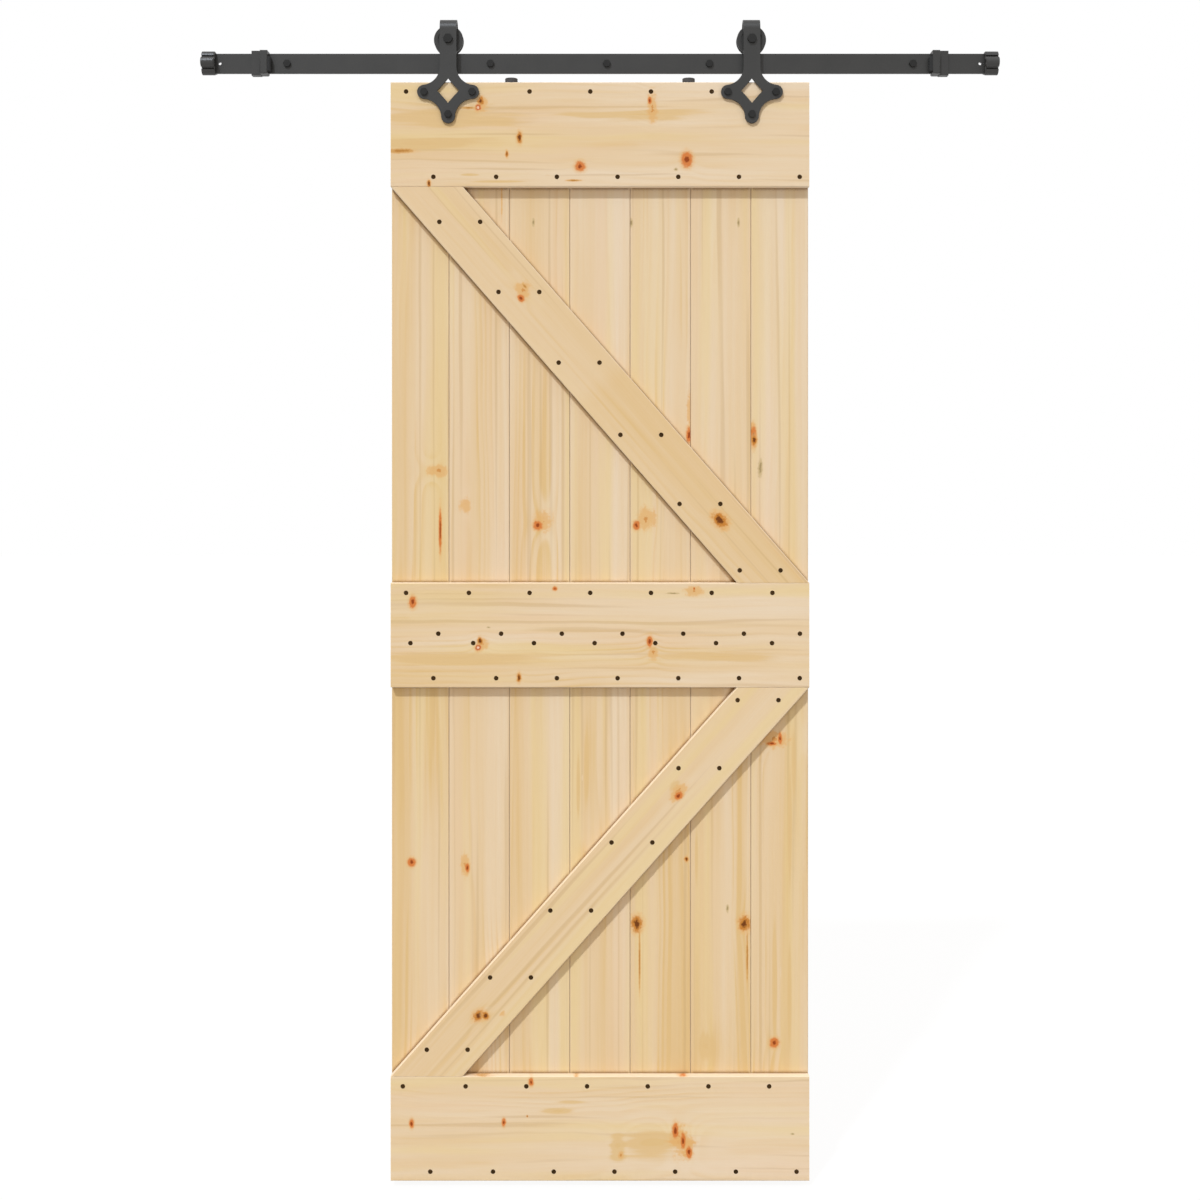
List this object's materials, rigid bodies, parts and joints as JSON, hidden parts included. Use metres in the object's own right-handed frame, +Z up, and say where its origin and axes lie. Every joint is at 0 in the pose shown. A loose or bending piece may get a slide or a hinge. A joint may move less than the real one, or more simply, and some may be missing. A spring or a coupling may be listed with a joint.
{
  "type": "sliding door",
  "caption": "Ledged and braced plank door hung by strap hangers with grooved wheels on a flat steel wall rail, with end stops and lobed end caps; it slides sideways.",
  "frame": {"origin": "centre of the wall face of the middle rail spacer, at the rail's mid height", "axes": "+X along the rail to the right seen from the front, +Y into the wall, +Z up; the front faces -Y and the wall is the plane Y = 0"},
  "size_m": [1.524, 0.0805, 2.2219],
  "materials": {
    "board_wood": "planed, unfinished pale pine",
    "ledge_wood": "planed, unfinished pale pine",
    "black_steel": "matt charcoal powder coat",
    "cap_steel": "matt charcoal powder coat",
    "bolt_steel": "matt black",
    "wheel_steel": "matt charcoal powder coat",
    "disc_plastic": "matt",
    "buffer_rubber": "matt black"
  },
  "bodies": {
    "track": {"rail": "black_steel", "rail_spacer_1": "black_steel", "rail_spacer_2": "black_steel", "rail_spacer_3": "black_steel", "rail_spacer_4": "black_steel", "rail_spacer_5": "black_steel", "rail_bolt_1": "bolt_steel", "rail_bolt_2": "bolt_steel", "rail_bolt_3": "bolt_steel", "rail_bolt_4": "bolt_steel", "rail_bolt_5": "bolt_steel", "left_end_cap": "cap_steel", "left_stop": "black_steel", "left_stop_buffer": "buffer_rubber", "right_end_cap": "cap_steel", "right_stop": "black_steel", "right_stop_buffer": "buffer_rubber"},
    "door": {"board_1": "board_wood", "board_2": "board_wood", "board_3": "board_wood", "board_4": "board_wood", "board_5": "board_wood", "board_6": "board_wood", "board_7": "board_wood", "top_ledge": "ledge_wood", "middle_ledge": "ledge_wood", "bottom_ledge": "ledge_wood", "upper_brace": "ledge_wood", "lower_brace": "ledge_wood", "left_hanger": "black_steel", "left_hanger_bolts": "bolt_steel", "left_hanger_nuts": "bolt_steel", "left_axle_bolt": "bolt_steel", "left_axle_nut": "bolt_steel", "left_anti_jump_disc": "disc_plastic", "right_hanger": "black_steel", "right_hanger_bolts": "bolt_steel", "right_hanger_nuts": "bolt_steel", "right_axle_bolt": "bolt_steel", "right_axle_nut": "bolt_steel", "right_anti_jump_disc": "disc_plastic", "disc_screws": "bolt_steel"},
    "left_roller": {"left_wheel": "wheel_steel"},
    "right_roller": {"right_wheel": "wheel_steel"}
  },
  "joints": [
    {"name": "door_slide", "type": "slide", "parent": "track", "child": "door", "axis": [1, 0, 0], "range_m": [-0.31, 0.31]},
    {"name": "left_wheel_spin", "type": "hinge", "parent": "door", "child": "left_roller", "pos_m": [-0.303, -0.037, 0.044], "axis": [0, 1, 0], "continuous": true},
    {"name": "right_wheel_spin", "type": "hinge", "parent": "door", "child": "right_roller", "pos_m": [0.277, -0.037, 0.044], "axis": [0, 1, 0], "continuous": true}
  ],
  "couplings": [
    {"joint": "left_wheel_spin", "follows": "door_slide", "rad_per_m": 40},
    {"joint": "right_wheel_spin", "follows": "door_slide", "rad_per_m": 40}
  ]
}
